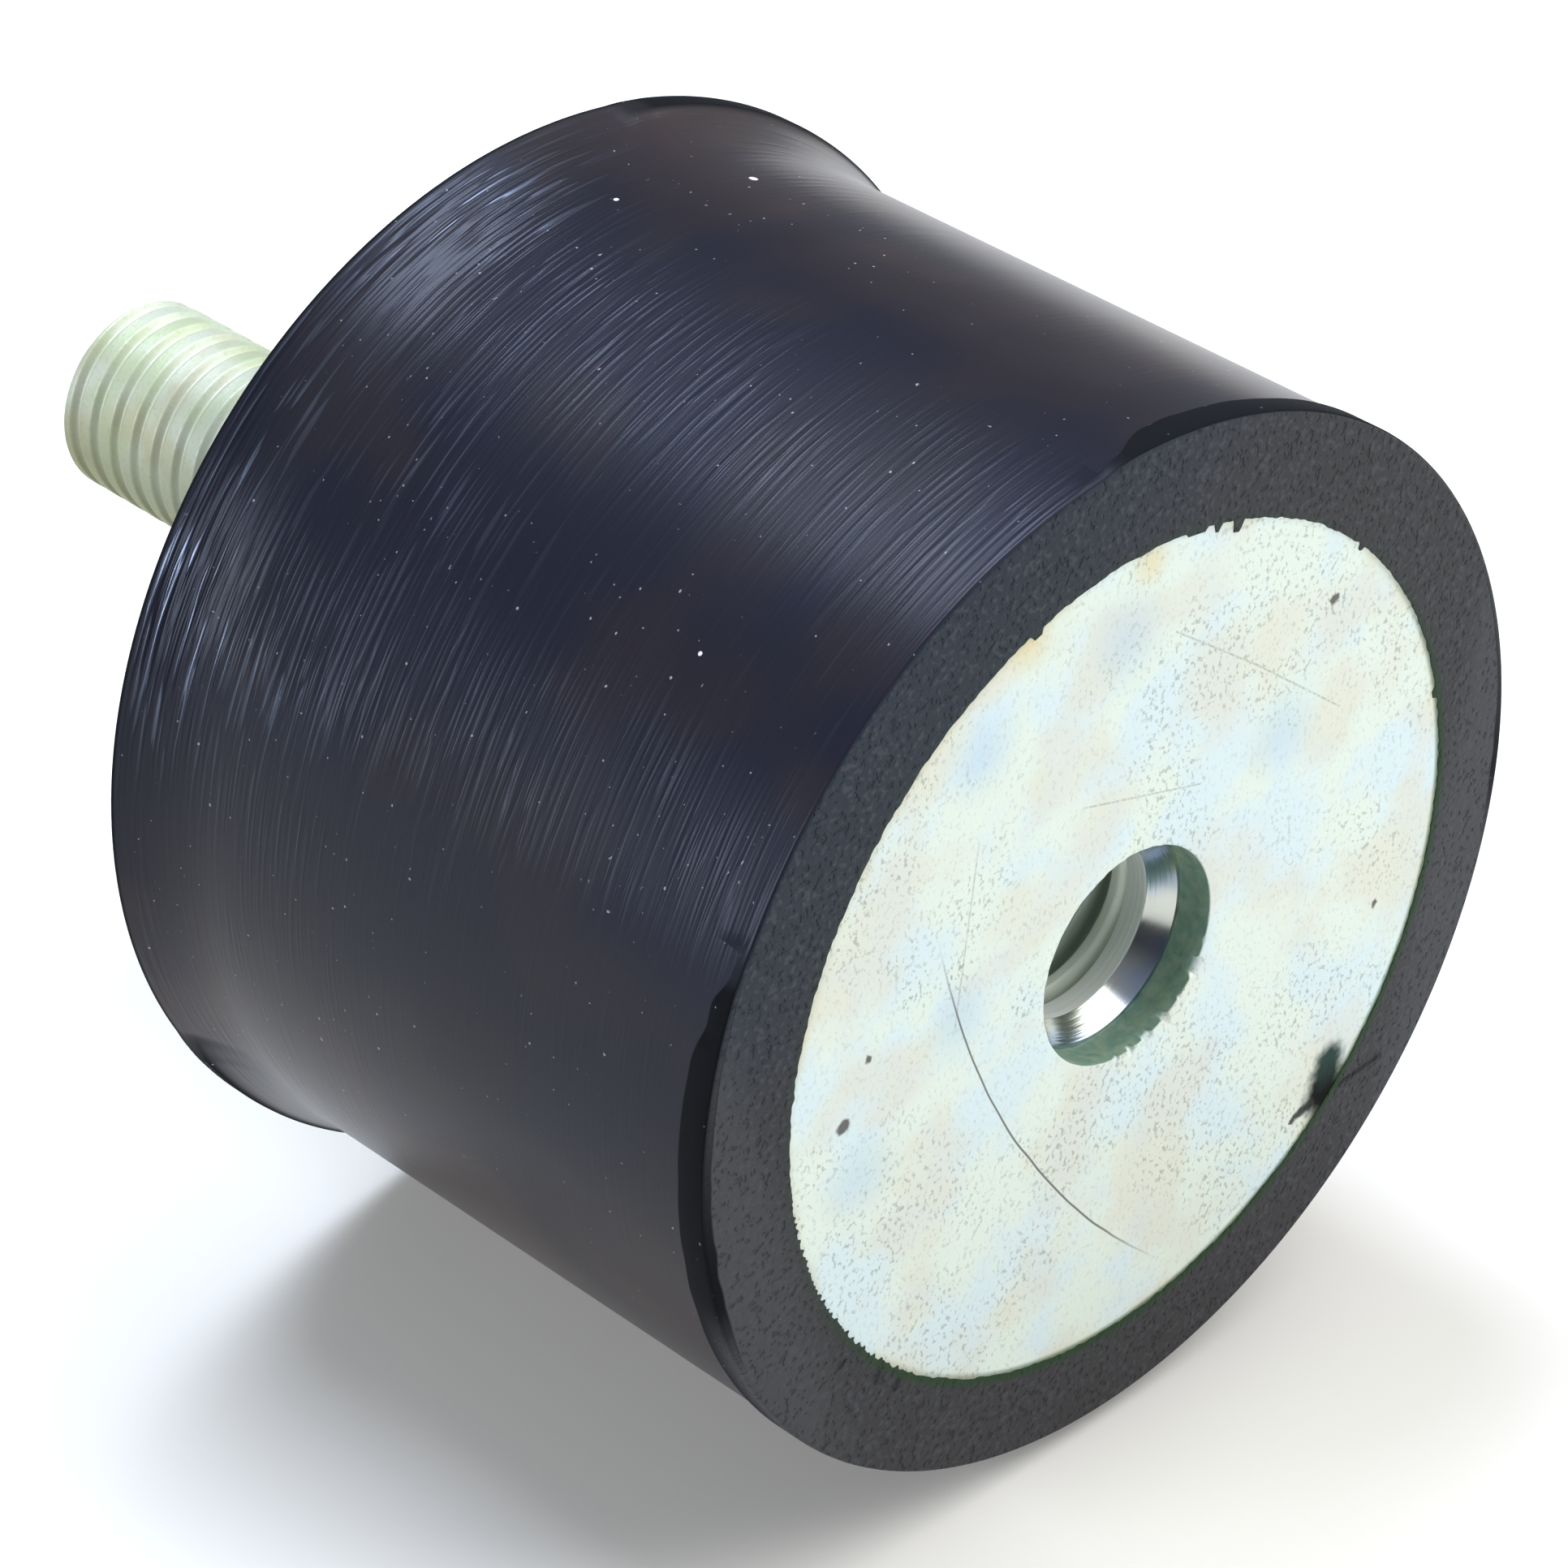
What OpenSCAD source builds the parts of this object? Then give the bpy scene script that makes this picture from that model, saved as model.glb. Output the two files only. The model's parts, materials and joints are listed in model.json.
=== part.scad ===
// Rubber bump stop: a ground rubber cylinder with a tapped steel plate in one end and a threaded stud in the other.
// The axis lies along Y. The origin is the centre of the stud end's seating face, and the stud points along +Y.

/* [Rubber body] */
// Diameter of the ground rubber body
body_d = 40; // [36:0.5:80]
// Height between the two end faces
body_h = 30; // [22:0.5:80]
// Width of the as-moulded land beside the tapped face
land_w = 1.25; // [0.8:0.05:3]
// How far the as-moulded skin stands proud of the ground rubber
skin_rise = 0.15; // [0.05:0.05:0.5]
// How far the tapped end's rubber falls away from plate to rim
face_fall = 0.2; // [0.05:0.05:0.5]
// Edge radius of both rims
rim_r = 0.15; // [0.1:0.05:0.45]
// Width of the as-moulded lip at the stud end
lip_w = 1; // [0.8:0.1:3]
// How far the lip stands proud of the ground body
lip_rise = 0.9; // [0.6:0.05:1.2]
// Length over which the body flares out towards the lip
flare_l = 3.5; // [1.5:0.1:8]

/* [End plates] */
// Diameter of both steel plates
plate_d = 32.8; // [24:0.2:36]
// Thickness of both steel plates
plate_t = 1.5; // [1:0.1:3]

/* [Thread] */
// Nominal diameter of the stud and of the tapped hole
thread_d = 8; // [6:1:12]
// Pitch of the thread
thread_pitch = 1.25; // [0.75:0.25:1.75]

/* [Threaded bush] */
// Room round the thread in the plate's punched hole
punch_clear = 0.2; // [0.05:0.05:1]
// Wall of the bush outside the thread
bush_wall = 2.5; // [1.5:0.1:4]
// Length of the bush behind the plate
bush_l = 9; // [7:0.5:12]
// Thickness of the bush's closed end
bush_floor = 1.5; // [1:0.1:3]
// How far the countersink's mouth is wider than the thread
sink_over = 0.1; // [0.05:0.05:0.5]
// Depth of the countersink
sink_depth = 1.2; // [0.5:0.1:2]

/* [Stud] */
// Length of the stud outside the seating face
stud_l = 25; // [12:0.5:50]
// Chamfer at the stud's tip
tip_chamfer = 1.2; // [0.5:0.1:2]
// How far the pressed neck stands out from the thread
neck_step = 0.6; // [0.2:0.1:1.5]
// How far the head stands out from the neck
head_step = 2; // [1:0.1:4]
// Thickness of the head inside the rubber
head_t = 3.5; // [2:0.1:6]

/* [Hidden] */
$fn = 96;

body_r = body_d / 2;
plate_r = plate_d / 2;
thread_r = thread_d / 2;
land_r = body_r + skin_rise;
lip_r = body_r + lip_rise;
flare_rise = lip_rise - skin_rise;
flare_curve_r = (flare_l * flare_l + flare_rise * flare_rise) / (2 * flare_rise);
punched_r = thread_r + punch_clear;
bush_r = thread_r + bush_wall;
sink_r = thread_r + sink_over;
// An internal thread's crests lie 5/8 of its sharp-vee height inside the nominal radius
tapped_r = thread_r - 5 / 8 * cos(30) * thread_pitch;
neck_r = thread_r + neck_step;
head_r = neck_r + head_step;
// Places along the axis
tapped_face = -body_h;
bush_mouth = tapped_face + plate_t;
bush_end = bush_mouth + bush_l;
stud_plate_back = -plate_t;
head_back = stud_plate_back - head_t;
flare_start = -lip_w - flare_l;

rubber_colour = [0.13, 0.13, 0.15];
plate_colour = [0.86, 0.89, 0.88];
bush_colour = [0.62, 0.66, 0.64];
stud_colour = [0.74, 0.77, 0.66];

// Turns a half section, drawn as radius across and axial place up, about the Y axis
module turned() {
    rotate([-90, 0, 0]) rotate_extrude() children();
}

// Half section of a disc or ring between two radii and two axial places
module ring_section(inner_r, outer_r, from, to) {
    translate([inner_r, from]) square([outer_r - inner_r, to - from]);
}

// What is taken off a rim to round it: side is 1 where the rim ends the part along +Y, -1 along -Y
module rim_rounding(corner_r, corner_at, side) {
    translate([corner_r - rim_r, corner_at - side * rim_r])
        difference() {
            translate([0, side > 0 ? 0 : -rim_r]) square(rim_r);
            circle(rim_r);
        }
}

// The land and the face that falls away to it
module land_section() {
    difference() {
        ring_section(0, land_r, tapped_face, tapped_face + land_w);
        polygon([
            [plate_r, tapped_face],
            [land_r, tapped_face],
            [land_r, tapped_face + face_fall],
            [land_r - rim_r, tapped_face + face_fall]
        ]);
        rim_rounding(land_r, tapped_face + face_fall, -1);
    }
}

// The concave flare that runs up from the ground body to just under the lip
module flare_section() {
    difference() {
        ring_section(body_r, body_r + flare_rise, flare_start, -lip_w);
        translate([body_r + flare_curve_r, flare_start]) circle(flare_curve_r, $fn = 360);
    }
}

// The lip, rounded where it meets the seating face
module lip_section() {
    difference() {
        ring_section(0, lip_r, -lip_w, 0);
        rim_rounding(lip_r, 0, 1);
    }
}

// One moulding, with seats for both plates, the bush and the stud's head
module rubber_body() {
    color(rubber_colour) turned()
        difference() {
            union() {
                land_section();
                ring_section(0, body_r, tapped_face + land_w, -lip_w);
                flare_section();
                lip_section();
            }
            ring_section(0, plate_r, tapped_face, bush_mouth);
            ring_section(0, bush_r, bush_mouth, bush_end);
            ring_section(0, head_r, head_back, stud_plate_back);
            ring_section(0, plate_r, stud_plate_back, 0);
        }
}

// Steel disc with a punched hole, flush in the tapped end
module tapped_plate() {
    color(plate_colour) turned() ring_section(punched_r, plate_r, tapped_face, bush_mouth);
}

// Blind turned bush behind the punched hole, countersunk at its mouth and bored to the thread's crests
module threaded_bush() {
    color(bush_colour) turned()
        difference() {
            ring_section(0, bush_r, bush_mouth, bush_end);
            ring_section(0, tapped_r, bush_mouth, bush_end - bush_floor);
            polygon([
                [0, bush_mouth],
                [sink_r, bush_mouth],
                [tapped_r, bush_mouth + sink_depth],
                [0, bush_mouth + sink_depth]
            ]);
        }
}

// Steel disc that carries the stud, flush in the other end
module stud_plate() {
    color(plate_colour) turned() ring_section(neck_r, plate_r, stud_plate_back, 0);
}

// Stud with a round head behind the plate, a neck pressed into it and a chamfered threaded end
module stud() {
    color(stud_colour) turned() {
        ring_section(0, head_r, head_back, stud_plate_back);
        ring_section(0, neck_r, stud_plate_back, 0);
        ring_section(0, thread_r, 0, stud_l - tip_chamfer);
        polygon([
            [0, stud_l - tip_chamfer],
            [thread_r, stud_l - tip_chamfer],
            [thread_r - tip_chamfer, stud_l],
            [0, stud_l]
        ]);
    }
}

rubber_body();
tapped_plate();
threaded_bush();
stud_plate();
stud();
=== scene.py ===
import json
import math

import bpy
import numpy as np
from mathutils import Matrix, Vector


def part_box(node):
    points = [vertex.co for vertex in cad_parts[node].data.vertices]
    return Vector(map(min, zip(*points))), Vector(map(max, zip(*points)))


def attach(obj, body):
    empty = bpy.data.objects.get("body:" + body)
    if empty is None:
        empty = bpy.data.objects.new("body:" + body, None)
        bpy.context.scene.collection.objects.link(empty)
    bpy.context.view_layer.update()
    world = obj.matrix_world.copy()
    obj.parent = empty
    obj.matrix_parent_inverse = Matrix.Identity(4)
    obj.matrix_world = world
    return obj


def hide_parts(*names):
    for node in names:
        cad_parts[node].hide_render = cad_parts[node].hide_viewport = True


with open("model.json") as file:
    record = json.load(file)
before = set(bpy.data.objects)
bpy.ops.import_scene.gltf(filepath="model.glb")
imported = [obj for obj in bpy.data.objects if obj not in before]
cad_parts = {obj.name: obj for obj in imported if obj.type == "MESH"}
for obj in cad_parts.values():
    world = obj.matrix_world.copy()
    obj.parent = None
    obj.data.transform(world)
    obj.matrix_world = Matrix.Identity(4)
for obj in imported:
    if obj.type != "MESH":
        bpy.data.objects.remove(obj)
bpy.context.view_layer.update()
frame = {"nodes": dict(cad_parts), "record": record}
print("frame loaded:", ", ".join(sorted(frame["nodes"])))

mm = 0.001
turn = 2 * math.pi


def spanOf(node):
    # Outer radius of a turned node and its two ends along the axis, in mm
    low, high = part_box(node)
    return round(high.x / mm, 2), round(low.y / mm, 2), round(high.y / mm, 2)


lipR, tappedFace, studFace = spanOf("rubber_body")
plateR, plateFront, plateBack = spanOf("tapped_plate")
bushR, bushMouth, bushEnd = spanOf("threaded_bush")
_, studPlateBack, _ = spanOf("stud_plate")
headR, headBack, studTip = spanOf("stud")
mounts = {mount["name"]: mount["dims"] for mount in frame["record"]["mounts"]}
threadR = mounts["stud"]["r_mm"]
tappedR = mounts["tapped_hole"]["r_mm"]
threadPitch = 1.25
plateSink = 0.03  # both plates lie this far under the rubber's edges


# Shapes

def around(count):
    # Equal angles once round the axis
    return np.arange(count) * turn / count


def lathe(name, rows, count, marks=(), loop=False, sharpDeg=30):
    # Carries a profile round the Y axis: x = r cos t, y = a, z = r sin t
    # A row is r, a and a value for each mark, one number or one per angle; the marks become mesh attributes
    # Radius 0 closes an end, and loop joins the two ends
    t = around(count)
    r, a, *values = [np.array([np.broadcast_to(row[n], count) for row in rows], float)
                     for n in range(2 + len(marks))]
    points = np.stack([r * np.cos(t), a, r * np.sin(t)], axis=-1).reshape(-1, 3) * mm
    index = np.arange(r.size).reshape(r.shape)
    pole = r.max(axis=1) == 0
    index[pole] = index[pole][:, :1]
    here = index if loop else index[:-1]
    there = np.roll(index, -1, axis=0) if loop else index[1:]
    quads = np.stack([here, np.roll(here, -1, 1), np.roll(there, -1, 1), there], axis=-1).reshape(-1, 4)
    used, quads = np.unique(quads, return_inverse=True)
    points = points[used]
    quads = quads.reshape(-1, 4)
    p = points[quads]
    sixVolumes = (p[:, 0] * (np.cross(p[:, 1], p[:, 2]) + np.cross(p[:, 2], p[:, 3]))).sum()
    if sixVolumes < 0:  # the profile was walked the other way, so the faces look inwards
        quads = quads[:, ::-1]
    first = quads[:, 0] == quads[:, 1]
    last = quads[:, 2] == quads[:, 3]
    faces = quads[~first & ~last].tolist() + quads[first][:, [0, 2, 3]].tolist() + quads[last][:, :3].tolist()
    mesh = bpy.data.meshes.new(name)
    mesh.from_pydata(points.tolist(), [], faces)
    mesh.shade_smooth()
    mesh.set_sharp_from_angle(angle=math.radians(sharpDeg))
    for mark, value in zip(marks, values):
        mesh.attributes.new(mark, "FLOAT", "POINT").data.foreach_set("value", value.reshape(-1)[used])
    piece = bpy.data.objects.new(name, mesh)
    bpy.context.scene.collection.objects.link(piece)
    return piece


def arcRows(r, a, radius, fromDeg, toDeg, steps=5):
    # Arc of the half section about (r, a): angle 0 points outwards and 90 along +Y
    return [(r + radius * np.cos(g), a + radius * np.sin(g))
            for g in np.radians(np.linspace(fromDeg, toDeg, steps))]


def marked(rows, *values):
    # The same mark values on each row
    return [(r, a, *values) for r, a in rows]


def wobble(t, seed, lowWave, highWave, falloff=0.5):
    # Closed random curve of mean square 1/2: cosines of whole wave numbers with seeded phases
    k = np.arange(lowWave, highWave + 1.0)
    phase = np.random.default_rng(seed).uniform(0, turn, k.size)
    size = k ** -falloff
    waves = size[:, None] * np.cos(k[:, None] * t + phase[:, None])
    return waves.sum(axis=0) / np.sqrt((size ** 2).sum())


def smooth(value, low, high):
    # Smoothstep from 0 at low to 1 at high
    s = np.clip((value - low) / (high - low), 0, 1)
    return s * s * (3 - 2 * s)


def degreesFrom(t, atDeg):
    # Angle between each t and a direction, 0 to 180 degrees
    return np.abs((np.degrees(t) - atDeg + 180) % 360 - 180)


def nearAngle(t, atDeg, halfWidth, edge, radius):
    # 1 within halfWidth mm of an angle, measured round the given radius, falling to 0 over edge mm
    off = np.radians(degreesFrom(t, atDeg)) * radius
    return 1 - smooth(off, halfWidth - edge / 2, halfWidth + edge / 2)


def threadWave(t, axial, crestShare, rootShare):
    # Right-hand thread: 0 in the root and 1 on the crest, where the phase is axial / pitch + t / turn
    phase = (axial / threadPitch + t / turn) % 1
    ridge = 1 - np.abs(2 * phase - 1)
    return smooth(ridge, rootShare, 1 - crestShare)


# Finishes

def paint(red, green, blue):
    # A screen colour, 0 to 255, as linear light
    c = np.array([red, green, blue]) / 255
    linear = np.where(c <= 0.04045, c / 12.92, ((c + 0.055) / 1.055) ** 2.4)
    return (*linear.tolist(), 1.0)


class Wire:
    # One socket of a material: sums on it add Math nodes, and node() adds any other kind
    def __init__(self, tree, socket):
        self.tree = tree
        self.socket = socket

    def node(self, kind, settings, sockets, give=0):
        made = self.tree.nodes.new(kind)
        for name, value in settings.items():
            setattr(made, name, value)
        for key, value in sockets.items():
            if isinstance(value, Wire):
                self.tree.links.new(value.socket, made.inputs[key])
            else:
                made.inputs[key].default_value = value
        return Wire(self.tree, made.outputs[give])

    def other(self, give):
        return Wire(self.tree, self.socket.node.outputs[give])  # another output of the same node

    def maths(self, operation, *values):
        return self.node("ShaderNodeMath", {"operation": operation}, dict(enumerate(values)))

    def __add__(self, value):
        return self.maths("ADD", self, value)

    def __radd__(self, value):
        return self.maths("ADD", value, self)

    def __sub__(self, value):
        return self.maths("SUBTRACT", self, value)

    def __rsub__(self, value):
        return self.maths("SUBTRACT", value, self)

    def __mul__(self, value):
        return self.maths("MULTIPLY", self, value)

    def __rmul__(self, value):
        return self.maths("MULTIPLY", value, self)

    def __truediv__(self, value):
        return self.maths("DIVIDE", self, value)

    def __pow__(self, value):
        return self.maths("POWER", self, value)

    def larger(self, value):
        return self.maths("MAXIMUM", self, value)

    def rise(self, low, high):
        # Smoothstep from 0 at low to 1 at high
        settings = {"interpolation_type": "SMOOTHSTEP"}
        return self.node("ShaderNodeMapRange", settings, {0: self, 1: low, 2: high})

    def fall(self, low, high):
        return 1 - self.rise(low, high)

    def vector(self, operation, *values, give=0):
        sockets = {0: self, **dict(enumerate(values, 1))}
        return self.node("ShaderNodeVectorMath", {"operation": operation}, sockets, give)

    def parts(self):
        x = self.node("ShaderNodeSeparateXYZ", {}, {0: self})
        return x, x.other(1), x.other(2)

    def stretch(self, x, y, z):
        return self.vector("MULTIPLY", (x, y, z))

    def moved(self, x, y, z):
        return self.vector("ADD", (x, y, z))

    def farFrom(self, x, y, z):
        return self.vector("DISTANCE", (x, y, z), give=1)

    def offStroke(self, start, end):
        # Distance from a straight stroke, and the share of its length where the nearest point lies
        step = Vector(end) - Vector(start)
        offset = self.vector("SUBTRACT", start)
        share = offset.vector("DOT_PRODUCT", tuple(step / step.length_squared), give=1)
        share = share.node("ShaderNodeClamp", {}, {0: share})
        along = share.node("ShaderNodeVectorMath", {"operation": "SCALE"}, {0: tuple(step), "Scale": share})
        return offset.vector("DISTANCE", along, give=1), share

    def cloud(self, scale, detail=2.0, rough=0.5):
        # Noise about 0.5; its output 1 is a colour of three such noises
        sockets = {"Vector": self, "Scale": scale, "Detail": detail, "Roughness": rough}
        return self.node("ShaderNodeTexNoise", {}, sockets)

    def mark(self, name):
        # A mark that the mesh carries
        return self.node("ShaderNodeAttribute", {"attribute_name": name}, {}, give=2)

    def toward(self, colour, share):
        # Colour or vector mixed with another by a share
        sockets = {0: share, 6: self, 7: colour}
        return self.node("ShaderNodeMix", {"data_type": "RGBA"}, sockets, give=2)


def newFinish(name, constants):
    # A material and its Object coordinates in mm; what is the same all over goes on the shader's own sockets
    material = bpy.data.materials.new(name)
    material.use_nodes = True
    tree = material.node_tree
    shader = tree.nodes["Principled BSDF"]
    for socket, value in constants.items():
        shader.inputs[socket].default_value = value
    metres = Wire(tree, tree.nodes.new("ShaderNodeTexCoord").outputs["Object"])
    place = metres.node("ShaderNodeVectorMath", {"operation": "SCALE"}, {0: metres, "Scale": 1 / mm})
    return material, place


def dress(material, wires, height=None, depth=0.01):
    # Links what varies to the shader, with the height in units of depth mm as its bump
    tree = material.node_tree
    shader = tree.nodes["Principled BSDF"]
    for socket, wire in wires.items():
        tree.links.new(wire.socket, shader.inputs[socket])
    if height is not None:
        bump = height.node("ShaderNodeBump", {}, {"Strength": 1.0, "Distance": depth * mm, "Height": height})
        tree.links.new(bump.socket, shader.inputs["Normal"])


def mixed(wire, share, low, high):
    # One colour to another by a share, as a new wire
    sockets = {0: share, 6: low, 7: high}
    return wire.node("ShaderNodeMix", {"data_type": "RGBA"}, sockets, give=2)


def seat(piece, node, material):
    # A finished piece stands for its CAD node and rides on the part's one body
    piece.data.materials.append(material)
    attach(piece, "root")
    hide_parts(node)
    print(piece.name, "made:", len(piece.data.polygons), "faces")


# Rubber body

rubber = {
    "segments": 1440,
    "bodyR": 20.0,  # ground outside
    "skin": 0.15,  # the as-moulded skin stands this far proud of it
    "landW": 1.45,
    "skinLap": 0.22,  # the skin runs this far onto the end face
    "rimWorn": (275, 82),  # but is worn off the rim at its lower side: middle and half-width in degrees
    "wornFade": 12,  # and that wear fades out over this angle
    "faceFall": 0.2,  # the ring falls away from the plate to the rim
    "rimR": 0.15,
    "lipW": 1.0,
    "flareL": 3.5,
    # where the grinding ran off centre and took the skin of either end: middle and half-width in degrees
    "landGround": (125, 26),
    "lipGround": (144, 66),
    "landGrows": 15,  # the land then widens over this angle
    "landWander": 0.05,  # how far its ground edge strays
    "leastLand": 0.08,  # where it is ground away, its edge lies this far from the rim
    "landStep": 0.05,  # it steps down to the ground outside over this length
    "lap": 0.05,  # rubber that covers the plates' edges
    "lapWander": 0.03,
    "leastLap": 0.015,
    "teeth": 0.12,  # fine torn edge, from toothFrom to toothTo degrees
    "toothFrom": -172,
    "toothTo": -131,
    "toothFade": 3.0,  # the teeth grow over this length, a nick's sides over nickFade
    "nickFade": 0.15,
    # torn flash on the plate's edge: angle in degrees, width and reach in mm
    "nicks": [(108.1, 0.5, 0.3), (80.8, 1.0, 0.2), (77.0, 0.3, 0.35), (73.2, 0.45, 0.5),
              (46.4, 0.3, 0.25), (13.0, 0.45, 0.25)],
    # pale grains pressed into the ground rubber: angle in degrees, place along the axis, radius in mm
    "grains": [(75.5, -6.2, 0.2), (91.0, -4.8, 0.12), (131.5, -22.6, 0.1)],
    # dents in the ring round the plate: x and z of both ends, half-width
    "dents": [(-14.39, -12.1, -14.51, -13.8, 0.16), (-12.0, -11.4, -12.15, -11.99, 0.22),
              (-11.08, -12.52, -11.18, -12.85, 0.22), (-13.69, -10.19, -13.9, -10.36, 0.18)],
    "smearLine": (11.8, -11.7, 14.2, -11.65),  # black line off the plate's smear, x and z of both ends
    "lineDepth": 0.15,  # height of the grinding marks
    "marksAt": 130,  # side where they are deepest, in degrees
    "brownAt": (60, 214),  # sides where a warm sheen is painted into the rubber, browner there
    "paleAt": (-12, 195),  # sides where the ring is painted paler, as painted light
}


def plateEdge(t):
    # Where the rubber's torn edge lies on the tapped plate
    s = rubber
    lap = np.maximum(s["lap"] + s["lapWander"] * wobble(t, 3, 20, 240), s["leastLap"])
    middle = (s["toothFrom"] + s["toothTo"]) / 2
    halfTeeth = math.radians(s["toothTo"] - s["toothFrom"]) / 2 * plateR
    toothed = nearAngle(t, middle, halfTeeth, s["toothFade"], plateR)
    lap += s["teeth"] * toothed * np.clip(wobble(t, 5, 150, 420, 0), 0, 1)
    for atDeg, width, reach in s["nicks"]:
        lap = np.maximum(lap, reach * nearAngle(t, atDeg, width / 2, s["nickFade"], plateR))
    return plateR - lap


def rubberShape():
    # Profile from the seat of the bush out over the tapped end, along the body and in to the stud's head
    # The marks: ground is 1 on ground rubber and 0 on the skin, ring is 1 on the end faces and the worn rim
    s = rubber
    t = around(s["segments"])
    edge = plateEdge(t)
    middle, half = s["landGround"]
    landShare = smooth(degreesFrom(t, middle) + 1.5 * wobble(t, 8, 9, 120, 0.8), half, half + s["landGrows"])
    landLeft = smooth(landShare, 0, 0.4)
    landR = s["bodyR"] + s["skin"] * landLeft
    rimStart = landR - s["rimR"]
    rimEnd = tappedFace + s["faceFall"] + s["rimR"]
    leastEdge = rimEnd + s["leastLand"]
    landEdge = leastEdge + (tappedFace + s["landW"] - leastEdge) * landShare
    landEdge += s["landWander"] * landShare * wobble(t, 7, 2, 90, 0.8)

    rows = marked([(0, bushEnd), (bushR, bushEnd), (bushR, plateBack), (plateR, plateBack),
                   (plateR, tappedFace + plateSink)], 0, 0)

    def onFace(r):
        return r, tappedFace + s["faceFall"] * np.clip((r - plateR) / (rimStart - plateR), 0, 1)

    middle, half = s["rimWorn"]
    worn = landLeft * (1 - smooth(degreesFrom(t, middle), half - s["wornFade"], half))
    lapLeft = (landLeft - worn) * (1 - smooth(np.sin(t), -0.2, 0.5))
    skinStart = rimStart - 0.02 - s["skinLap"] * lapLeft * (1 + 0.25 * wobble(t, 12, 4, 90, 0.6))
    face = [(edge, tappedFace + plateSink), (edge + 0.01, tappedFace + 0.01)]
    face += [onFace(edge + share * (skinStart - edge)) for share in (0.015, 0.05, 0.12, 0.3, 0.5, 0.75, 0.98)]
    rim = [onFace(skinStart)] + arcRows(rimStart, rimEnd, s["rimR"], -90, 0, 6)
    rows += marked(face, 0, 1) + marked(rim[:4], 0, 1 - lapLeft) + marked(rim[4:], 1 - landLeft, worn)
    step = s["landStep"]
    landEnd = [(landR, landEdge - step), (landR - 0.15 * s["skin"] * landLeft, landEdge - 0.2 * step)]
    rows += marked(landEnd, 1 - landLeft, 0)

    flareStart = studFace - s["lipW"] - s["flareL"]
    side = [(s["bodyR"], landEdge + 0.8 * step)]
    side += [(s["bodyR"], y) for y in np.linspace(tappedFace + s["landW"] + 0.4, flareStart - 0.5, 6)]
    # the ground flare is a parabola that runs out over the lip, the other a circle's arc that ends under it
    lipRise = lipR - s["bodyR"]
    flareRise = lipRise - s["skin"]
    curveR = (s["flareL"] ** 2 + flareRise ** 2) / (2 * flareRise)
    middle, half = s["lipGround"]
    over = 1 - smooth(degreesFrom(t, middle) + 1.5 * wobble(t, 9, 7, 90, 0.7), half - 3, half + 3)

    def flared(y, skinned):
        run = y - flareStart
        return skinned + over * (s["bodyR"] + lipRise * (run / -flareStart) ** 2 - skinned)

    for run in np.linspace(0, s["flareL"] - 0.15, 10):
        side.append((flared(flareStart + run, s["bodyR"] + curveR - math.sqrt(curveR ** 2 - run ** 2)),
                     flareStart + run))
    rows += marked(side, 1, 0)
    lipStart = studFace - s["lipW"]
    lipEnd = studFace - 2 * s["rimR"]
    lip = [(flared(lipStart + 0.1, lipR - 0.02), lipStart + 0.1),
           (flared(lipStart + 0.3, lipR), lipStart + 0.3),
           (flared(lipEnd, lipR), lipEnd)]
    rows += marked(lip, over, 0)
    end = arcRows(flared(studFace - s["rimR"], lipR) - s["rimR"], studFace - s["rimR"], s["rimR"], 0, 90)
    rearEdge = plateR - s["lap"] - s["lapWander"] * wobble(t, 11, 20, 200)
    rows += marked(end[:3], 0, 0) + marked(end[3:], 0, 1)
    rows += marked([(rearEdge + 0.02, studFace - 0.005), (rearEdge, studFace - plateSink)], 0, 1)
    rows += marked([(plateR, studFace - plateSink), (plateR, studPlateBack), (headR, studPlateBack),
                    (headR, headBack), (0, headBack)], 0, 0)
    return lathe("rubberBody", rows, s["segments"], ("ground", "ring"))


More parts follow.
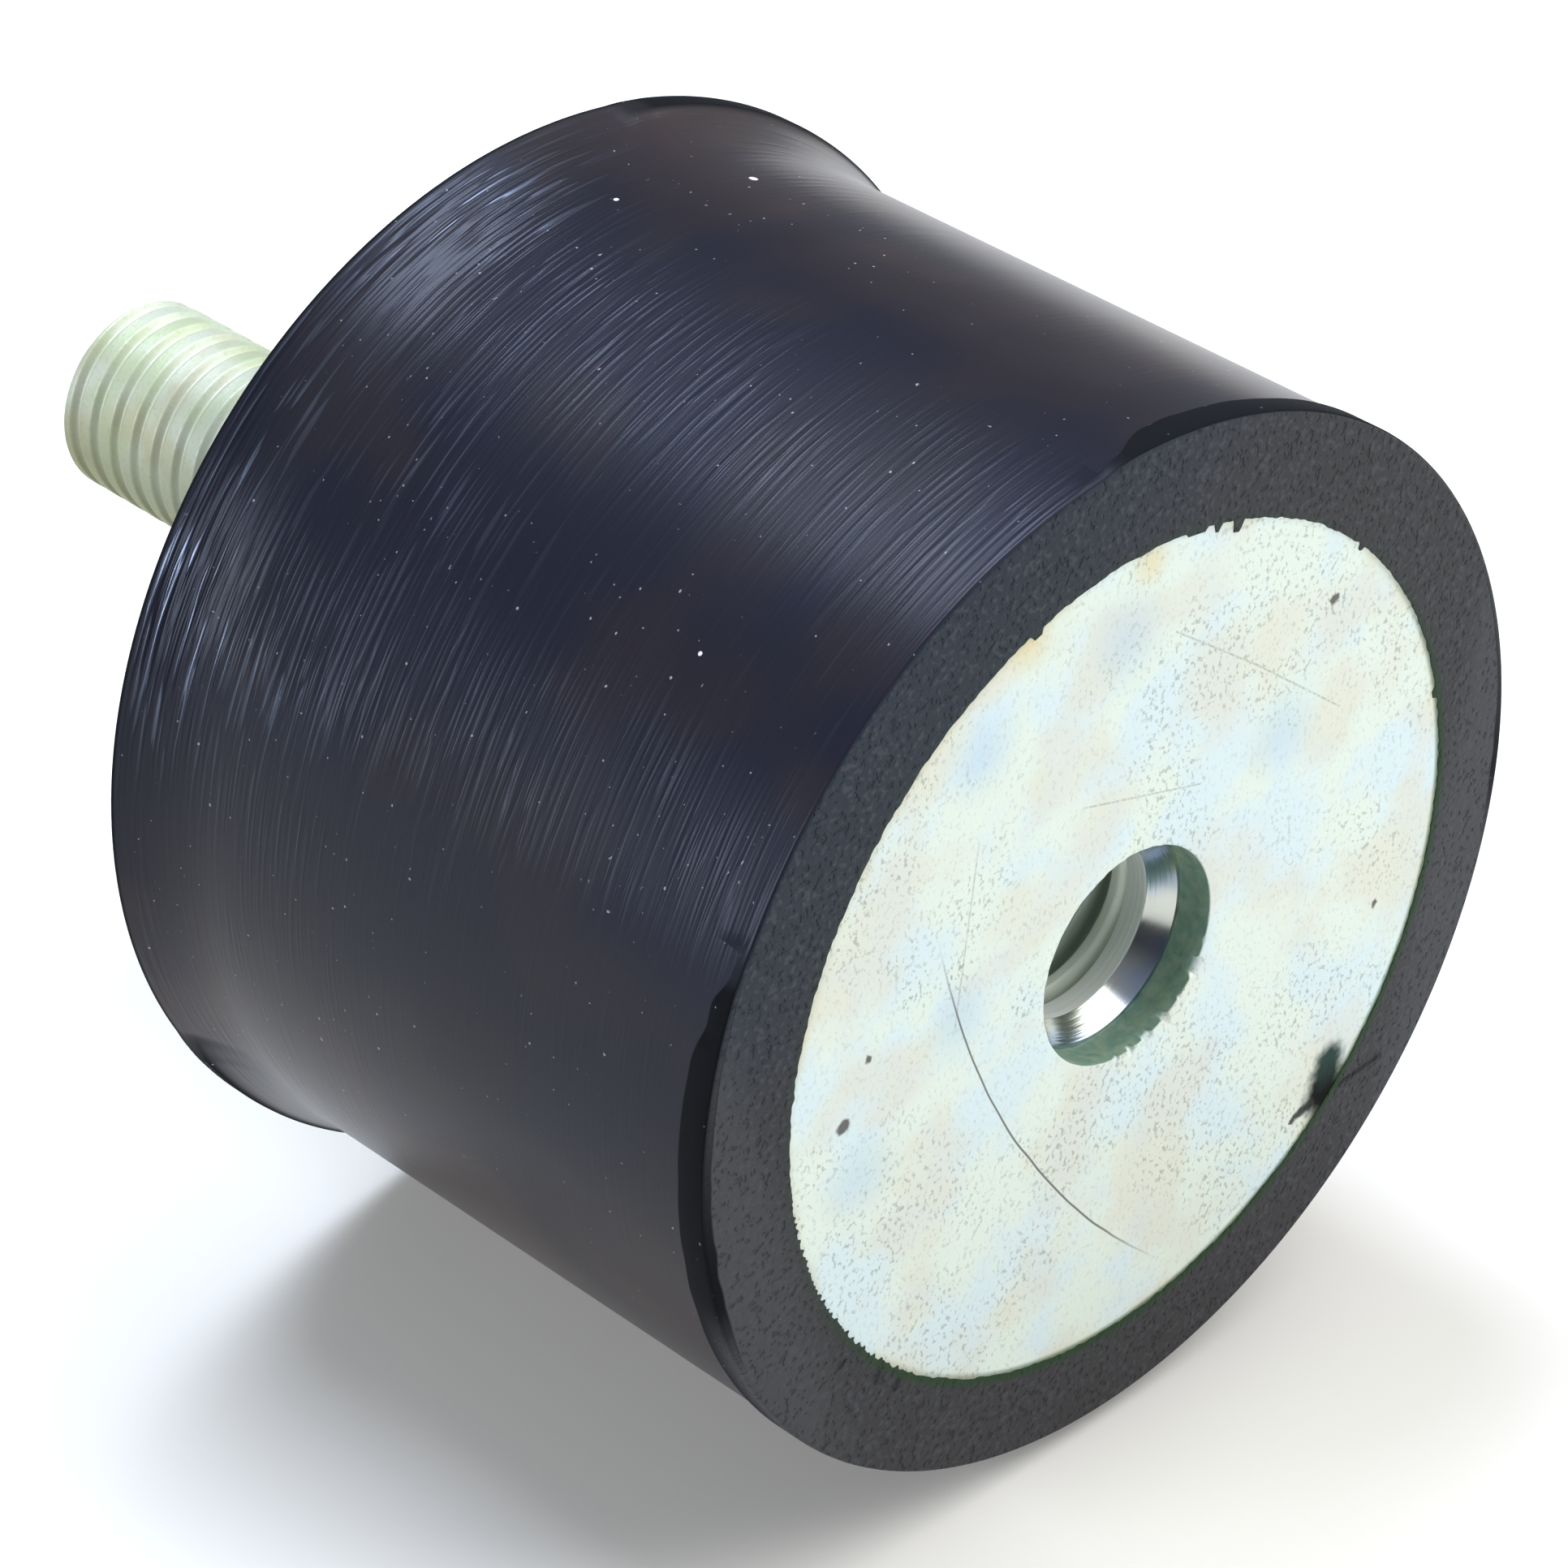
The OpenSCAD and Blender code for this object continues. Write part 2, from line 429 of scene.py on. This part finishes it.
def groundRubber():
    s = rubber
    constants = {"Specular IOR Level": 0.15, "Specular Tint": (0.72, 0.81, 1.0, 1.0)}
    material, place = newFinish("groundRubber", constants)
    x, y, z = place.parts()
    ground = place.mark("ground")
    ring = place.mark("ring")
    # one noise serves both: drawn out round the body as grinding marks, even on the end faces as their grain
    texture = place.stretch(0.25, 5.0, 0.25).toward(place.stretch(4.0, 4.0, 4.0), ring).cloud(1.0, 1.0, 0.5)
    red, green, blue = place.cloud(0.17, 1.0).other(1).parts()
    skin = 1 - ground - ring

    def facing(atDeg):
        # 1 where the body looks that way, 0 at a right angle to it
        at = math.radians(atDeg)
        return (x * math.cos(at) + z * math.sin(at)) / s["bodyR"]

    # the grinding bit deepest on one side, and roughest near the stud's end
    deep = facing(s["marksAt"]).rise(0.7, 0.92)
    rough = (0.15 + 0.85 * deep) * (0.3 + 0.5 * y.rise(-15.0, -7.0) + 0.5 * y.rise(-5.5, -2.0))
    harsh = ground * rough * (0.4 + 0.6 * green.rise(0.4, 0.62))
    dust = place.cloud(5.5, 0.0).rise(0.83, 0.9)

    # painted light: body and ring turn bluer on the side at the land's ground angle, as under the cool lamps
    paintedCoolLight = facing(s["landGround"][0]).rise(0.4, 1.0)
    body = mixed(place, paintedCoolLight, paint(31, 29, 31), paint(30, 30, 41))
    # painted reflection: a warm brown sheen on those sides
    for atDeg in s["brownAt"]:
        body = body.toward(paint(64, 53, 51), facing(atDeg).rise(0.85, 1.0) * 0.6)
    body = body.toward(paint(27, 29, 38), blue.rise(0.42, 0.66) * 0.5)
    body = body.toward(paint(41, 36, 38), red.rise(0.46, 0.68) * 0.5)
    crestHighlight = texture.rise(0.57, 0.66) * harsh * harsh  # the deepest marks' crests get a painted pale blue highlight colour, which their metallic share reflects
    body = body.toward(paint(112, 120, 138), crestHighlight * 0.4)
    body = body.toward(paint(20, 21, 27), texture.fall(0.3, 0.42) * harsh * 0.4)
    face = mixed(place, paintedCoolLight, paint(58, 57, 58), paint(47, 53, 62))
    face = face.toward(paint(80, 82, 86), texture.rise(0.54, 0.72) * 0.5)
    # painted light: the ring paler on those sides
    for atDeg in s["paleAt"]:
        face = face.toward(paint(74, 75, 77), facing(atDeg).rise(0.78, 0.9) * 0.6)
    pit = texture.fall(0.29, 0.41) * ring
    face = face.toward(paint(34, 34, 37), pit * 0.4)
    startX, startZ, endX, endZ = s["smearLine"]
    offLine, _ = place.offStroke((startX, tappedFace, startZ), (endX, tappedFace + 0.15, endZ))
    face = face.toward(paint(8, 8, 10), offLine.fall(0.06, 0.2) * 0.9)
    for startX, startZ, endX, endZ, width in s["dents"]:
        off, _ = place.offStroke((startX, tappedFace, startZ), (endX, tappedFace + 0.1, endZ))
        face = face.toward(paint(18, 20, 22), off.fall(width * 0.3, width) * 0.8)
    # painted shadow: a dark green line round the plate, strongest at its lower right
    gapShadowShare = 0.2 + 0.8 * (0.5 * x - z).rise(-4.0, 10.0)
    line = ((x * x + z * z) ** 0.5).fall(plateR + 0.08, plateR + 0.42) * gapShadowShare
    face = face.toward(paint(36, 62, 32), line * 0.9)
    colour = mixed(place, texture, paint(6, 6, 8), paint(12, 12, 14)).toward(body, ground).toward(face, ring)
    colour = colour.toward(paint(150, 152, 156), dust * (0.75 - 0.65 * ring))
    for atDeg, along, size in s["grains"]:
        at = math.radians(atDeg)
        off = place.farFrom(s["bodyR"] * math.cos(at), along, s["bodyR"] * math.sin(at))
        colour = colour.toward(paint(214, 206, 216), off.fall(size * 0.6, size))
    ridge = texture.rise(0.56, 0.66)
    height = harsh * (0.5 * texture + 0.1 * ridge) + 0.25 * ring * texture - 0.3 * pit
    roughness = 0.28 + 0.3 * ring + 0.6 * skin
    wires = {"Base Color": colour, "Metallic": crestHighlight * 0.6, "Roughness": roughness}
    dress(material, wires, height, s["lineDepth"])
    return material


seat(rubberShape(), "rubber_body", groundRubber())


# Tapped plate

plate = {
    "segments": 720,
    "holeR": 4.2,
    "edgeR": 0.07,  # roll-over of the punched edge
    "chip": 0.34,  # how far the torn part of that edge breaks away, from chipFrom to chipTo degrees
    "chipFrom": -95,
    "chipTo": -20,
    "tear": 0.05,  # the lower part of the punched wall breaks out by this much
    # hairline scratch, an arc about (x, z) in mm
    "scratchAt": (26.68, 13.19),
    "scratchR": 36.96,
    # soft stains, pitted patches and dark spots: x, z, radius
    "blueStains": [(7.5, 5.9, 2.6), (-13.1, -2.6, 2.4), (-0.7, 13.2, 2.6),
                   (-7.6, 11.9, 2.4), (-8.5, 1.5, 2.2)],
    "yellowStains": [(-5.4, 15.3, 1.5), (0.4, 15.9, 1.3)],
    "pitted": [(-5.3, 0.6, 1.6), (-8.5, 3.5, 1.8), (-10.5, 3.9, 1.8)],
    "spots": [(10.05, 10.2, 0.32), (13.26, -4.24, 0.22), (-13.85, -0.09, 0.42), (-12.66, 2.14, 0.24)],
    # black smear: x, z of both ends and half its width, then its tails, x, z of the tip and width at the root
    "smear": (11.05, -11.6, 11.2, -10.3, 1.5),
    "smearTails": [(9.15, -12.1, 0.85), (12.6, -11.65, 0.5)],
    # faint scratches: x, z of both ends
    "scratches": [(1.8, 12.5, 6.0, 9.3), (6.0, 9.3, 10.6, 5.5),
                  (-2.6, 7.4, 3.4, 5.6), (-7.6, 8.4, -8.6, 1.2)],
}


def plateShape():
    # Ring walked from its back edge over the face, round the punched edge and down the hole's wall
    # The mark wall is 1 on the hole's wall
    s = plate
    t = around(s["segments"])
    face = plateFront + plateSink
    middle = (s["chipFrom"] + s["chipTo"]) / 2
    halfChips = math.radians(s["chipTo"] - s["chipFrom"]) / 2 * s["holeR"]
    torn = nearAngle(t, middle, halfChips, 1.0, s["holeR"])
    chips = s["chip"] * torn * smooth(wobble(t, 21, 7, 40, 0.3), 0.0, 0.6)
    roll = s["edgeR"] * (1 + 0.3 * wobble(t, 22, 6, 60)) + chips
    rows = marked([(plateR, plateBack), (plateR, face)], 0)
    rows += marked([(r, face) for r in np.linspace(plateR - 0.8, s["holeR"] + 0.6, 14)], 0)
    for share in np.radians(np.linspace(0, 90, 6)):
        rows.append((s["holeR"] + roll * (1 - math.sin(share)), face + roll * (1 - math.cos(share)),
                     smooth(share, 0.8, 1.3)))
    for depth in np.linspace(0.3, 1, 8):
        out = s["tear"] * smooth(depth, 0.35, 0.6) * (1 + 0.4 * wobble(t, 23, 5, 40))
        rows.append((s["holeR"] + out, face + depth * (plateBack - face), 1))
    return lathe("tappedPlate", rows, s["segments"], ("wall",), loop=True)


def paleZinc(name, own):
    # Satin zinc plating with blotches and pits
    # The tapped plate also has its own stains, scratches, spots and smear
    s = plate
    material, place = newFinish(name, {"Metallic": 0.3, "Specular IOR Level": 0.1})
    x, _, z = place.parts()
    r = (x * x + z * z) ** 0.5
    red, green, blue = place.cloud(0.24, 2.0).other(1).parts()
    colour = mixed(place, blue.rise(0.42, 0.6), paint(224, 234, 223), paint(216, 231, 233))
    colour = colour.toward(paint(221, 218, 202), red.rise(0.44, 0.64) * 0.6)
    speckle = place.stretch(1.15, 1.0, 0.85).cloud(4.6, 2.0, 0.6)
    dense = 0.3 + 0.7 * green.rise(0.42, 0.6)
    if own:
        face = plateFront + plateSink
        stains = [(s["blueStains"], paint(184, 208, 226), 0.5),
                  (s["yellowStains"], paint(224, 208, 150), 0.6)]
        for stained, tint, share in stains:
            for stainX, stainZ, size in stained:
                colour = colour.toward(tint, place.farFrom(stainX, face, stainZ).fall(0, size) * share)
        for pitX, pitZ, size in s["pitted"]:
            dense = dense.larger(1.4 * place.farFrom(pitX, face, pitZ).fall(0, size))
    pit = speckle.fall(0.33, 0.47) * dense
    colour = colour.toward(paint(132, 136, 122), pit * 0.5)
    rust = r.rise(plateR - 0.6, plateR - 0.05) * red.rise(0.4, 0.6)
    colour = colour.toward(paint(196, 182, 134), rust * 0.25)
    # painted shadow: dark green at the plate's edge under the rubber, strongest at its lower right
    plateEdgeShadow = r.rise(plateR - 0.32, plateR - 0.06) * (0.1 + 0.9 * (x - z).rise(-4.0, 14.0))
    colour = colour.toward(paint(52, 80, 40), plateEdgeShadow * 0.8)
    roughness = 0.42 + 0.14 * speckle
    if own:
        wall = place.mark("wall")
        ragged = place.cloud(2.2, 2.0).other(1)
        patch, _, _ = ragged.parts()
        wallGreen = mixed(place, patch.rise(0.3, 0.8), paint(106, 144, 126), paint(146, 168, 142))
        colour = colour.toward(wallGreen, wall * 0.9)
        bent = place.vector("ADD", ragged.moved(-0.5, -0.5, -0.5).stretch(0.6, 0.0, 0.6))
        for spotX, spotZ, size in s["spots"]:
            spot = bent.farFrom(spotX, face, spotZ).fall(size * 0.5, size)
            colour = colour.toward(paint(58, 50, 46), spot * 0.85)
        arcX, arcZ = s["scratchAt"]
        offArc = place.farFrom(arcX, face, arcZ) + 0.2 * (red - 0.5) - s["scratchR"]
        hair = (offArc * offArc).fall(0.0002, 0.0028) * z.rise(-14.9, -11.0) * z.fall(1.0, 5.8)
        colour = colour.toward(paint(84, 84, 80), hair * 0.85)
        for startX, startZ, endX, endZ in s["scratches"]:
            off, _ = place.offStroke((startX, face, startZ), (endX, face, endZ))
            colour = colour.toward(paint(128, 130, 120), off.fall(0.01, 0.06) * speckle.rise(0.35, 0.6) * 0.5)
        startX, startZ, endX, endZ, width = s["smear"]
        root = (startX, face, startZ)
        off, upward = bent.offStroke(root, (endX, face, endZ))
        smear = (off / (width * (1 - 0.25 * upward))).fall(0.35, 1.0) * (1 - 0.03 * upward)
        for tipX, tipZ, width in s["smearTails"]:
            off, share = bent.offStroke(root, (tipX, face, tipZ))
            smear = smear.larger((off / (width * (1.1 - share))).fall(0.2, 1.0) * (1 - 0.12 * share))
        ink = mixed(place, upward, paint(8, 10, 10), paint(22, 56, 50))  # black at the root, greener above
        colour = colour.toward(ink, smear)
        roughness = roughness + 0.2 * smear
    dress(material, {"Base Color": colour, "Roughness": roughness}, 0.3 * speckle - pit, 0.01)
    return material


seat(plateShape(), "tapped_plate", paleZinc("tappedPlateZinc", True))


# Threaded bush

bush = {
    "segments": 240,
    "mouthR": 4.1,
    "coneDepth": 0.95,
    "stepR": 3.485,  # plain ring between the cone and the thread
    "stepEnd": 1.9,
    "floor": 1.5,
    "rowStep": 0.05,
    "rootR": 4.05,  # bottom of the internal thread
    "runIn": (-0.3, 0.35),  # the first thread grows out of the bore between these, from the ring's end
    "runOut": (0.9, 0.2),  # the last one fades into it between these, before the bore's end
    "crestShare": 0.12,
    "rootShare": 0.25,
}


def bushShape():
    # Outside, then the mouth's cone, a plain ring and the internal thread
    # Each point of the bore lies on whichever of them cuts deeper
    s = bush
    t = around(s["segments"])
    rows = [(0, bushEnd), (bushR, bushEnd), (bushR, bushMouth)]
    boreEnd = bushEnd - s["floor"]
    stepEnd = bushMouth + s["stepEnd"]
    growFrom, growTo = [stepEnd + run for run in s["runIn"]]
    fadeFrom, fadeTo = [boreEnd - run for run in s["runOut"]]
    for a in np.arange(bushMouth, boreEnd, s["rowStep"]):
        cone = s["mouthR"] - (s["mouthR"] - s["stepR"]) * min((a - bushMouth) / s["coneDepth"], 1)
        plain = cone if a < stepEnd else tappedR
        depth = (s["rootR"] - tappedR) * smooth(a, growFrom, growTo) * (1 - smooth(a, fadeFrom, fadeTo))
        wave = threadWave(t, a, s["crestShare"], s["rootShare"])
        rows.append((np.maximum(plain, tappedR + depth * wave), a))
    rows += [(tappedR, boreEnd), (0, boreEnd)]
    return lathe("threadedBush", rows, s["segments"], sharpDeg=40)


def turnedZinc():
    material, place = newFinish("turnedZinc", {})
    x, y, z = place.parts()
    tool = place.stretch(0.2, 14.0, 0.2).cloud(1.0, 2.0)
    tint = place.cloud(0.5, 1.0).rise(0.4, 0.62)
    coneEnd = bushMouth + bush["coneDepth"]
    stepEnd = bushMouth + bush["stepEnd"]
    cone = y.fall(coneEnd - 0.05, coneEnd)
    step = y.fall(stepEnd - 0.05, stepEnd)  # cone and plain ring, 0 on the thread
    bright = mixed(place, tint, paint(190, 192, 184), paint(172, 184, 200))
    r = (x * x + z * z) ** 0.5
    # painted shade: the thread's roots darker green
    grooveShade = r.rise(tappedR + 0.1, bush["rootR"] - 0.15)
    thread = mixed(place, tool, paint(214, 224, 208), paint(240, 244, 232))
    thread = thread.toward(paint(70, 96, 74), grooveShade * 0.6)
    plain = mixed(place, tool, paint(214, 220, 218), paint(255, 255, 252))
    colour = thread.toward(plain, step).toward(bright, cone)
    roughness = 0.34 - 0.2 * cone + 0.08 * tool
    wires = {"Base Color": colour, "Roughness": roughness, "Metallic": 0.8 * cone + 0.2 * step}
    dress(material, wires, tool, 0.004)
    return material


seat(bushShape(), "threaded_bush", turnedZinc())


# Stud plate

studPlate = {
    "segments": 360,
    "neckR": 4.6,
    "edgeR": 0.08,
}


def studPlateShape():
    # Ring walked from its back edge over the outer face to the stud's neck
    s = studPlate
    face = studFace - plateSink
    rows = [(s["neckR"], studPlateBack), (plateR, studPlateBack), (plateR, face)]
    rows += [(r, face) for r in np.linspace(plateR - 0.8, s["neckR"] + 0.5, 12)]
    rows += arcRows(s["neckR"] + s["edgeR"], face - s["edgeR"], s["edgeR"], 90, 180, 4)
    return lathe("studPlate", rows, s["segments"], loop=True)


seat(studPlateShape(), "stud_plate", paleZinc("studPlateZinc", False))


# Stud

stud = {
    "segments": 96,
    "rowStep": 0.04,
    "rootR": 3.75,
    "blankR": 3.62,  # plain shank under the thread's run-out
    "tipChamfer": 1.2,
    "runOutFrom": 0.6,
    "runOutTo": 1.9,
    "crestShare": 0.45,
    "rootShare": 0.0,
    "neckEdge": 0.08,
    "fillet": 0.2,  # between the seating face and the shank
    "threadFrom": 0.3,
}


def studShape():
    # Head and neck inside the part, then the rolled thread cut down by the tip's chamfer
    s = stud
    t = around(s["segments"])
    neckR = studPlate["neckR"]
    rows = [(0, headBack), (headR, headBack), (headR, studPlateBack), (neckR, studPlateBack)]
    rows += arcRows(neckR - s["neckEdge"], studFace - s["neckEdge"], s["neckEdge"], 0, 90, 4)
    rows += arcRows(s["blankR"] + s["fillet"], studFace + s["fillet"], s["fillet"], 270, 180, 4)
    for a in np.arange(studFace + s["threadFrom"], studTip - s["rowStep"] / 2, s["rowStep"]):
        grown = smooth(a, s["runOutFrom"], s["runOutTo"])
        wave = threadWave(t, a, s["crestShare"], s["rootShare"])
        rolled = s["rootR"] + (threadR - s["rootR"]) * wave
        chamfer = threadR + studTip - s["tipChamfer"] - a
        rows.append((np.minimum(s["blankR"] + grown * (rolled - s["blankR"]), chamfer), a))
    rows += [(threadR - s["tipChamfer"], studTip), (0, studTip)]
    return lathe("threadedStud", rows, s["segments"], sharpDeg=40)


def greenZinc():
    material, place = newFinish("greenZinc", {"Metallic": 0.3})
    x, y, z = place.parts()
    red, green, _ = place.cloud(0.35, 2.0).other(1).parts()
    grain = place.cloud(6.0, 2.0)
    colour = mixed(place, green.rise(0.4, 0.62), paint(184, 190, 174), paint(172, 182, 152))
    colour = colour.toward(paint(168, 162, 132), red.rise(0.48, 0.66) * 0.6)
    colour = colour.toward(paint(150, 156, 128), grain.rise(0.5, 0.75) * 0.4)
    colour = colour.toward(paint(104, 106, 62), z.fall(-2.5, 3.5) * 0.87)  # painted shade: darker and yellower below
    colour = colour.toward(paint(112, 119, 105), y.fall(11.0, 20.0) * 0.75)  # and painted shade towards its root
    # painted light: the thread's roots are lighter, to soften their shade
    rootFillPaint = ((x * x + z * z) ** 0.5).fall(stud["rootR"], threadR)
    colour = colour.toward(paint(214, 220, 204), rootFillPaint * 0.2)
    dress(material, {"Base Color": colour, "Roughness": 0.42 + 0.16 * grain}, grain, 0.01)
    return material


seat(studShape(), "stud", greenZinc())


# Stage, light and camera

stage = {
    "floorR": 4.0,  # metres
    "floorSides": 96,
    "floorColour": paint(222, 219, 214),
    "floorGlow": 0.15,  # the floor shines a little, as a light table does
    "horizon": (0.06, 0.065, 0.085, 1.0),
    "zenith": (0.36, 0.39, 0.44, 1.0),
    "rightGlow": (0.36, 0.46, 0.54, 1.0),
    # softboxes: direction from the body's middle, distance and the two sides in metres, watts, colour
    "boxes": {
        "overheadBox": ((0.1, 0.375, 0.92), 0.6, 0.32, 0.17, 3.9, (0.77, 0.86, 1.0)),
        "leftBox": ((-0.87, 0.375, 0.32), 0.6, 0.17, 0.3, 2.0, (0.88, 0.94, 1.0)),
        "rightBox": ((0.55, -0.36, 0.75), 0.6, 0.7, 0.6, 4.7, (1.0, 1.0, 0.98)),
    },
    # camera at the photograph's place, in mm from the origin, with its heading in degrees
    "cameraAt": (-125.8304, -142.1977, 120.3923),
    "azimuthDeg": -44.2225,
    "elevationDeg": 33.9455,
    "lens": 137.2534,
    "sensor": 36.0,
}


def makeFloor():
    # Flat disc just under the lip, which the part lies on
    t = around(stage["floorSides"])
    r = stage["floorR"]
    rim = np.stack([r * np.cos(t), r * np.sin(t), np.full(t.size, -lipR * mm)], axis=-1)
    mesh = bpy.data.meshes.new("floor")
    mesh.from_pydata(rim.tolist(), [], [list(range(t.size))])
    floor = bpy.data.objects.new("floor", mesh)
    bpy.context.scene.collection.objects.link(floor)
    material, _ = newFinish("paleFloor", {"Roughness": 0.7, "Base Color": stage["floorColour"],
                                          "Emission Color": stage["floorColour"],
                                          "Emission Strength": stage["floorGlow"]})
    floor.data.materials.append(material)


def makeLights():
    middle = Vector((0, (tappedFace + studFace) / 2 * mm, 0))
    for name, (direction, far, wide, tall, watts, colour) in stage["boxes"].items():
        lamp = bpy.data.lights.new(name, "AREA")
        lamp.shape = "RECTANGLE"
        lamp.size = wide
        lamp.size_y = tall
        lamp.energy = watts
        lamp.color = colour
        box = bpy.data.objects.new(name, lamp)
        out = Vector(direction).normalized()
        box.location = middle + out * far
        box.rotation_euler = (-out).to_track_quat("-Z", "Y").to_euler()
        bpy.context.scene.collection.objects.link(box)
    world = bpy.data.worlds.new("softRoom")
    world.use_nodes = True
    tree = world.node_tree
    side, _, up = Wire(tree, tree.nodes.new("ShaderNodeTexCoord").outputs["Generated"]).parts()
    sky = mixed(up, up.rise(0.3, 1.0), stage["horizon"], stage["zenith"])
    sky = sky.toward(stage["rightGlow"], side.rise(0.6, 1.0))
    tree.links.new(sky.socket, tree.nodes["Background"].inputs["Color"])
    bpy.context.scene.world = world


def makeCamera():
    a = math.radians(stage["azimuthDeg"])
    e = math.radians(stage["elevationDeg"])
    back = Vector((math.sin(a) * math.cos(e), -math.cos(a) * math.cos(e), math.sin(e)))
    lens = bpy.data.cameras.new("camera")
    lens.sensor_width = stage["sensor"]
    lens.lens = stage["lens"]
    lens.clip_start = 0.01
    camera = bpy.data.objects.new("camera", lens)
    camera.location = Vector(stage["cameraAt"]) * mm
    camera.rotation_euler = (-back).to_track_quat("-Z", "Y").to_euler()
    bpy.context.scene.collection.objects.link(camera)
    bpy.context.scene.camera = camera


makeFloor()
makeLights()
makeCamera()
bpy.context.scene.view_settings.view_transform = "Standard"
print("stage, lights and camera made")
